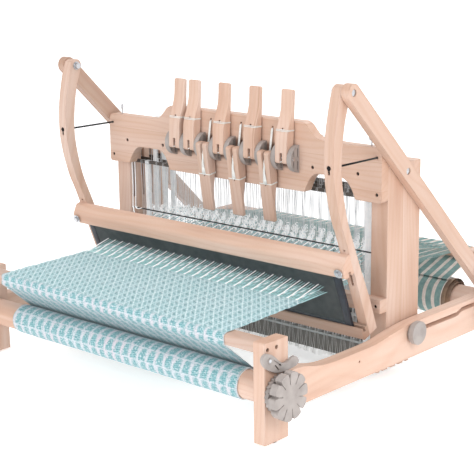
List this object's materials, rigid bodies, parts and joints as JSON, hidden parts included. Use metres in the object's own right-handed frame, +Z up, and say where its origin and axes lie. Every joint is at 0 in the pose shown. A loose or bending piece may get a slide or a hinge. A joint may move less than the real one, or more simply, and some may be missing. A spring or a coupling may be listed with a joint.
{
  "type": "table loom",
  "caption": "Folding table loom with hand levers that raise heddle shafts, a hanging beater with reed, ratchet beams, dressed with striped warp and part-woven cloth.",
  "frame": {"origin": "centre of the whole loom's box, on the surface that its foot pads stand on", "axes": "+Z up, +Y from the weaver to the back of the loom, +X to the weaver's right"},
  "size_m": [0.786, 0.7593, 0.5615],
  "materials": {
    "beech": "clear satin oil over pale pinkish beech",
    "reed_steel": "grey steel dents with dark bound edges",
    "grey_plastic": "moulded warm light grey plastic, satin",
    "zinc_steel": "bright zinc plated",
    "dark_steel": "dark painted steel rod",
    "black_elastic": "braided near-black elastic",
    "white_cord": "braided white polyester cord",
    "heddle_shaft": "white string heddles between grey metal bars",
    "warp_yarn": "fine cotton yarn in teal and white stripes",
    "woven_cloth": "fine patterned weave in teal and white stripes",
    "rubber_pad": "plain black rubber"
  },
  "bodies": {
    "root": {"left_side_rail": "beech", "right_side_rail": "beech", "left_front_post": "beech", "right_front_post": "beech", "left_back_post": "beech", "right_back_post": "beech", "breast_beam": "beech", "back_beam": "beech", "castle_left_side": "beech", "castle_right_side": "beech", "castle_front_board": "beech", "castle_back_board": "beech", "castle_front_rail": "beech", "castle_back_rail": "beech", "left_brace": "beech", "right_brace": "beech", "lever_brackets": "grey_plastic", "lever_axle": "zinc_steel", "heddle_rod": "dark_steel", "elastic_cords": "black_elastic", "lever_cords": "white_cord", "lift_cords": "white_cord", "warp": "warp_yarn", "woven_cloth": "woven_cloth", "screws": "zinc_steel", "brace_bolts": "zinc_steel", "eye_hooks": "zinc_steel", "foot_pads": "rubber_pad"},
    "beater": {"left_beater_arm": "beech", "right_beater_arm": "beech", "beater_top_rail": "beech", "beater_bottom_rail": "beech", "reed": "reed_steel", "beater_bolts": "zinc_steel"},
    "lever_1": {"lever_1": "beech"},
    "lever_2": {"lever_2": "beech"},
    "lever_3": {"lever_3": "beech"},
    "lever_4": {"lever_4": "beech"},
    "lever_5": {"lever_5": "beech"},
    "lever_6": {"lever_6": "beech"},
    "lever_7": {"lever_7": "beech"},
    "lever_8": {"lever_8": "beech"},
    "shaft_1": {"shaft_1": "heddle_shaft"},
    "shaft_2": {"shaft_2": "heddle_shaft"},
    "shaft_3": {"shaft_3": "heddle_shaft"},
    "shaft_4": {"shaft_4": "heddle_shaft"},
    "shaft_5": {"shaft_5": "heddle_shaft"},
    "shaft_6": {"shaft_6": "heddle_shaft"},
    "shaft_7": {"shaft_7": "heddle_shaft"},
    "shaft_8": {"shaft_8": "heddle_shaft"},
    "cloth_beam": {"cloth_beam": "beech", "cloth_hand_wheel": "grey_plastic", "cloth_roll": "woven_cloth"},
    "warp_beam": {"warp_beam": "beech", "warp_hand_wheel": "grey_plastic", "warp_roll": "warp_yarn"},
    "cloth_pawl": {"cloth_pawl": "grey_plastic"},
    "warp_pawl": {"warp_pawl": "grey_plastic"},
    "left_clamp_knob": {"left_clamp_knob": "grey_plastic"},
    "right_clamp_knob": {"right_clamp_knob": "grey_plastic"}
  },
  "joints": [
    {"name": "beater_swing", "type": "hinge", "parent": "root", "child": "beater", "pos_m": [-0.008, -0.12455, 0.546], "axis": [-1, 0, 0], "range_deg": [-2, 9.7], "stiffness_Nm_per_rad": 4, "springref_deg": -8.59, "deforming": ["elastic_cords", "warp"]},
    {"name": "lever_1_swing", "type": "hinge", "parent": "root", "child": "lever_1", "pos_m": [-0.14415, -0.03905, 0.4], "axis": [1, 0, 0], "range_deg": [0, 191.4], "deforming": ["lever_cords"]},
    {"name": "lever_2_swing", "type": "hinge", "parent": "root", "child": "lever_2", "pos_m": [-0.10525, -0.03905, 0.4], "axis": [1, 0, 0], "range_deg": [0, 191.4]},
    {"name": "lever_3_swing", "type": "hinge", "parent": "root", "child": "lever_3", "pos_m": [-0.06635, -0.03905, 0.4], "axis": [1, 0, 0], "range_deg": [-191.4, 0]},
    {"name": "lever_4_swing", "type": "hinge", "parent": "root", "child": "lever_4", "pos_m": [-0.02745, -0.03905, 0.4], "axis": [1, 0, 0], "range_deg": [0, 191.4]},
    {"name": "lever_5_swing", "type": "hinge", "parent": "root", "child": "lever_5", "pos_m": [0.01145, -0.03905, 0.4], "axis": [1, 0, 0], "range_deg": [-191.4, 0]},
    {"name": "lever_6_swing", "type": "hinge", "parent": "root", "child": "lever_6", "pos_m": [0.05035, -0.03905, 0.4], "axis": [1, 0, 0], "range_deg": [0, 191.4]},
    {"name": "lever_7_swing", "type": "hinge", "parent": "root", "child": "lever_7", "pos_m": [0.08925, -0.03905, 0.4], "axis": [1, 0, 0], "range_deg": [-191.4, 0]},
    {"name": "lever_8_swing", "type": "hinge", "parent": "root", "child": "lever_8", "pos_m": [0.12815, -0.03905, 0.4], "axis": [1, 0, 0], "range_deg": [0, 191.4]},
    {"name": "shaft_1_slide", "type": "slide", "parent": "root", "child": "shaft_1", "axis": [0, 0, 1], "range_m": [0, 0.042], "deforming": ["lift_cords"]},
    {"name": "shaft_2_slide", "type": "slide", "parent": "root", "child": "shaft_2", "axis": [0, 0, 1], "range_m": [0, 0.042]},
    {"name": "shaft_3_slide", "type": "slide", "parent": "root", "child": "shaft_3", "axis": [0, 0, 1], "range_m": [-0.042, 0]},
    {"name": "shaft_4_slide", "type": "slide", "parent": "root", "child": "shaft_4", "axis": [0, 0, 1], "range_m": [0, 0.042]},
    {"name": "shaft_5_slide", "type": "slide", "parent": "root", "child": "shaft_5", "axis": [0, 0, 1], "range_m": [-0.042, 0]},
    {"name": "shaft_6_slide", "type": "slide", "parent": "root", "child": "shaft_6", "axis": [0, 0, 1], "range_m": [0, 0.042]},
    {"name": "shaft_7_slide", "type": "slide", "parent": "root", "child": "shaft_7", "axis": [0, 0, 1], "range_m": [-0.042, 0]},
    {"name": "shaft_8_slide", "type": "slide", "parent": "root", "child": "shaft_8", "axis": [0, 0, 1], "range_m": [0, 0.042]},
    {"name": "cloth_beam_turn", "type": "hinge", "parent": "root", "child": "cloth_beam", "pos_m": [-0.008, -0.33565, 0.0862], "axis": [1, 0, 0], "continuous": true},
    {"name": "warp_beam_turn", "type": "hinge", "parent": "root", "child": "warp_beam", "pos_m": [-0.008, 0.30395, 0.087], "axis": [1, 0, 0], "continuous": true},
    {"name": "cloth_pawl_lift", "type": "hinge", "parent": "root", "child": "cloth_pawl", "pos_m": [0.3685, -0.35915, 0.1468], "axis": [1, 0, 0], "range_deg": [0, 40]},
    {"name": "warp_pawl_lift", "type": "hinge", "parent": "root", "child": "warp_pawl", "pos_m": [0.3685, 0.28045, 0.1476], "axis": [1, 0, 0], "range_deg": [0, 40]},
    {"name": "left_knob_turn", "type": "hinge", "parent": "root", "child": "left_clamp_knob", "pos_m": [-0.386, 0.04595, 0.095], "axis": [1, 0, 0], "continuous": true},
    {"name": "right_knob_turn", "type": "hinge", "parent": "root", "child": "right_clamp_knob", "pos_m": [0.37, 0.04595, 0.095], "axis": [1, 0, 0], "continuous": true}
  ],
  "couplings": [
    {"joint": "shaft_1_slide", "follows": "lever_1_swing", "m_per_rad": 0.01257},
    {"joint": "shaft_2_slide", "follows": "lever_2_swing", "m_per_rad": 0.01257},
    {"joint": "shaft_3_slide", "follows": "lever_3_swing", "m_per_rad": 0.01257},
    {"joint": "shaft_4_slide", "follows": "lever_4_swing", "m_per_rad": 0.01257},
    {"joint": "shaft_5_slide", "follows": "lever_5_swing", "m_per_rad": 0.01257},
    {"joint": "shaft_6_slide", "follows": "lever_6_swing", "m_per_rad": 0.01257},
    {"joint": "shaft_7_slide", "follows": "lever_7_swing", "m_per_rad": 0.01257},
    {"joint": "shaft_8_slide", "follows": "lever_8_swing", "m_per_rad": 0.01257}
  ]
}
